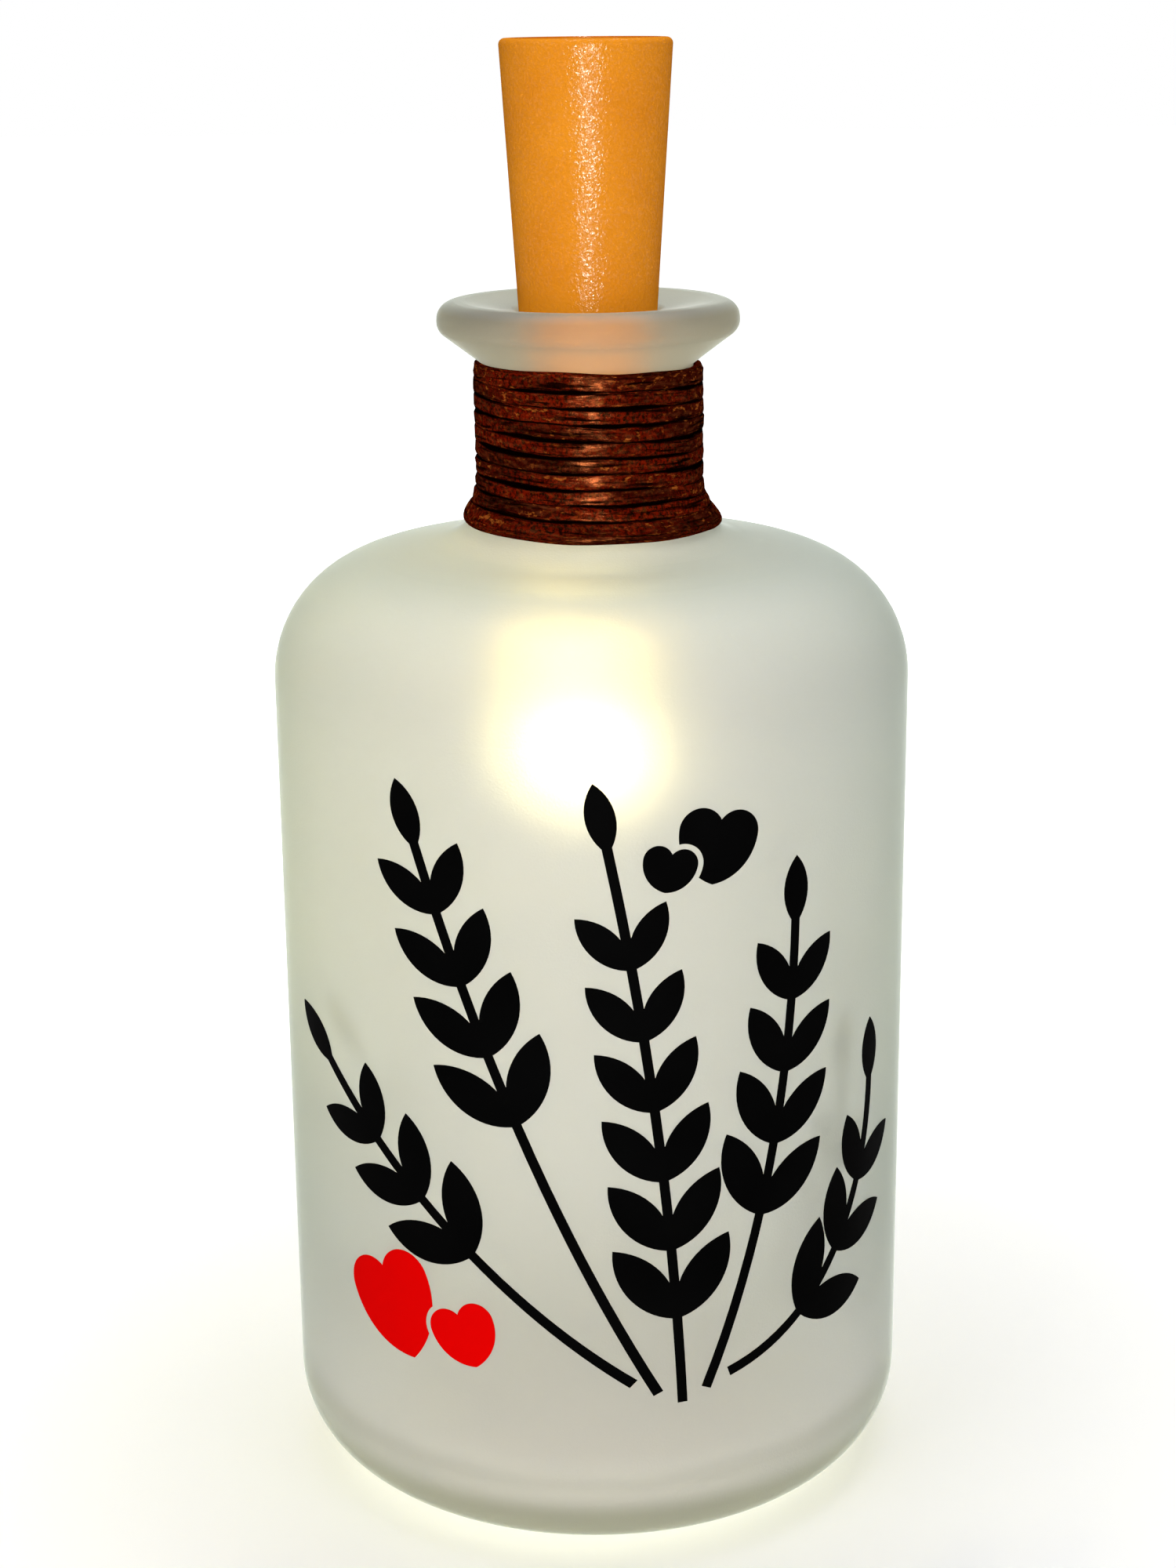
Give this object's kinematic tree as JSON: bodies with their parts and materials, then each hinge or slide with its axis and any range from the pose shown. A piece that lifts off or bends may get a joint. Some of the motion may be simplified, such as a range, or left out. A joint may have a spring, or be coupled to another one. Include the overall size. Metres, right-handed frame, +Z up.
{
  "type": "cork bottle light",
  "caption": "Frosted round bottle lamp with a twine-bound neck, film decals and a cork-shaped battery LED plug with a push button on top.",
  "frame": {"origin": "centre of the standing ring, on the surface that the bottle stands on", "axes": "+Z up along the bottle's axis, -Y towards the front with the decals"},
  "size_m": [0.085, 0.0852, 0.1939],
  "materials": {
    "frosted_glass": "satin frosted clear glass",
    "waxed_twine": "dark red-brown waxed twine",
    "black_film": "black adhesive film",
    "red_film": "red adhesive film",
    "cork_plastic": "semi-gloss cork-coloured plastic",
    "button_plastic": "satin plastic",
    "dark_plastic": "moulded",
    "board": "solder mask on laminate",
    "pale_plastic": "moulded",
    "cell_steel": "nickel-plated steel",
    "bright_metal": "tinned or nickel-plated",
    "wire_cover": "red wire insulation",
    "led_resin": "warm white water-clear resin",
    "clear_plastic": "clear moulded plastic"
  },
  "bodies": {
    "bottle": {"glass_bottle": "frosted_glass", "neck_twine": "waxed_twine", "black_heart_decals": "black_film", "red_heart_decals": "red_film", "leaf_sprig_decals": "black_film"},
    "cork_light": {"cork_shell": "cork_plastic", "switch_housing": "dark_plastic", "circuit_board": "board", "chip_resistor": "dark_plastic", "battery_carrier": "pale_plastic", "button_cell_upper": "cell_steel", "button_cell_middle": "cell_steel", "button_cell_lower": "cell_steel", "positive_contact": "bright_metal", "negative_spring": "bright_metal", "negative_plate": "bright_metal", "led": "led_resin", "led_holder": "pale_plastic", "led_leads": "bright_metal", "anode_wire": "wire_cover", "cathode_wire": "dark_plastic", "lens": "clear_plastic"},
    "battery_cap": {"battery_cap": "cork_plastic", "cap_screw": "bright_metal"},
    "power_button": {"power_button": "button_plastic"},
    "switch_plunger": {"switch_plunger": "dark_plastic"}
  },
  "joints": [
    {"name": "cork_lift", "type": "slide", "parent": "bottle", "child": "cork_light", "axis": [0, 0, 1], "range_m": [0, 0.07]},
    {"name": "battery_cap_lift", "type": "slide", "parent": "cork_light", "child": "battery_cap", "axis": [0, 0, 1], "range_m": [0, 0.02]},
    {"name": "button_press", "type": "slide", "parent": "battery_cap", "child": "power_button", "axis": [0, 0, -1], "range_m": [0, 0.001], "stiffness_N_per_m": 300},
    {"name": "plunger_press", "type": "slide", "parent": "cork_light", "child": "switch_plunger", "axis": [0, 0, -1], "range_m": [0, 0.001]}
  ],
  "couplings": [
    {"joint": "plunger_press", "follows": "button_press", "ratio": 1}
  ]
}
